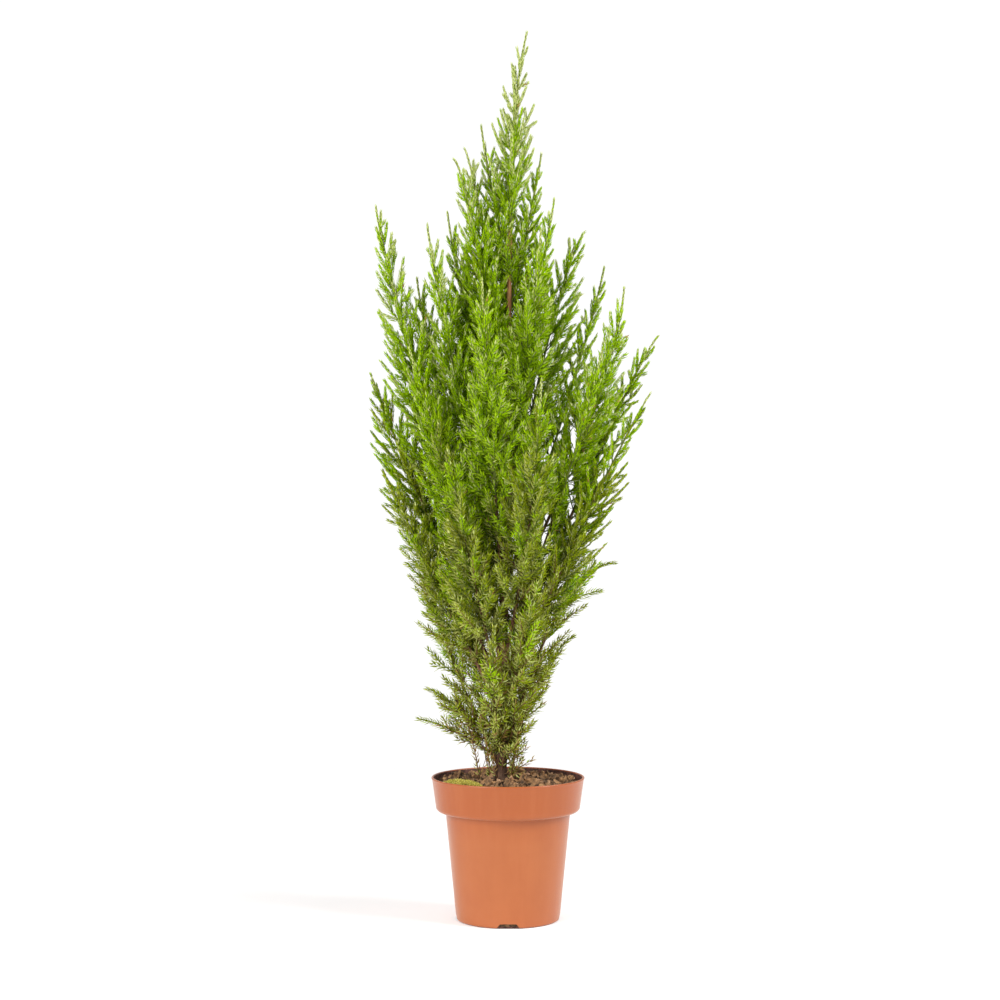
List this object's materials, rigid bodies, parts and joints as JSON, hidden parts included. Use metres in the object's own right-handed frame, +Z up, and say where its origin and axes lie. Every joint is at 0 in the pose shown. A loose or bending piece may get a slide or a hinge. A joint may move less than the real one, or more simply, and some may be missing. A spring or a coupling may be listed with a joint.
{
  "type": "potted upright conifer",
  "caption": "Young upright conifer with awl-shaped needles on ascending plumes round one trunk, growing in compost in a round plastic nursery pot with a deep collar.",
  "frame": {"origin": "centre of the pot's flat underside", "axes": "+Z up along the pot's axis, -Y towards the front, where the moss lies"},
  "size_m": [0.3243, 0.2569, 0.9903],
  "materials": {
    "pot_plastic": "satin terracotta-coloured plastic",
    "compost": "loose crumbly compost with bark chips",
    "moss": "soft yellow-green moss",
    "bark": "flaking grey-brown bark",
    "needles_low": "olive-green older needles",
    "needles_mid": "fresh green needles",
    "needles_top": "light green young needles"
  },
  "bodies": {
    "root": {"bough_back_flare": "bark", "bough_back_inner": "bark", "bough_back_mid": "bark", "bough_back_tall": "bark", "bough_front_flare": "bark", "bough_front_inner": "bark", "bough_front_mid": "bark", "bough_front_tall": "bark", "bough_left_flare": "bark", "bough_left_inner": "bark", "bough_left_mid": "bark", "bough_left_spire": "bark", "bough_right_flare": "bark", "bough_right_inner": "bark", "bough_right_mid": "bark", "bough_right_outer": "bark", "bough_right_tall": "bark", "foliage_back_flare": "needles_mid", "foliage_back_foot": "needles_low", "foliage_back_inner": "needles_top", "foliage_back_low": "needles_low", "foliage_back_mid": "needles_mid", "foliage_back_tall": "needles_mid", "foliage_back_top": "needles_top", "foliage_front_flare": "needles_mid", "foliage_front_foot": "needles_low", "foliage_front_inner": "needles_top", "foliage_front_low": "needles_low", "foliage_front_mid": "needles_mid", "foliage_front_tall": "needles_mid", "foliage_front_top": "needles_top", "foliage_leader": "needles_top", "foliage_left_base": "needles_low", "foliage_left_crown": "needles_top", "foliage_left_flare": "needles_mid", "foliage_left_foot": "needles_low", "foliage_left_front": "needles_mid", "foliage_left_inner": "needles_top", "foliage_left_low": "needles_low", "foliage_left_mid": "needles_mid", "foliage_left_rear": "needles_mid", "foliage_left_spire": "needles_top", "foliage_left_tall": "needles_mid", "foliage_left_top": "needles_top", "foliage_right_crown": "needles_top", "foliage_right_flare": "needles_mid", "foliage_right_foot": "needles_low", "foliage_right_front": "needles_mid", "foliage_right_inner": "needles_top", "foliage_right_low": "needles_low", "foliage_right_mid": "needles_mid", "foliage_right_outer": "needles_mid", "foliage_right_rear": "needles_mid", "foliage_right_tall": "needles_mid", "foliage_right_top": "needles_top", "moss": "moss", "pot": "pot_plastic", "soil": "compost", "trunk": "bark"}
  },
  "joints": []
}
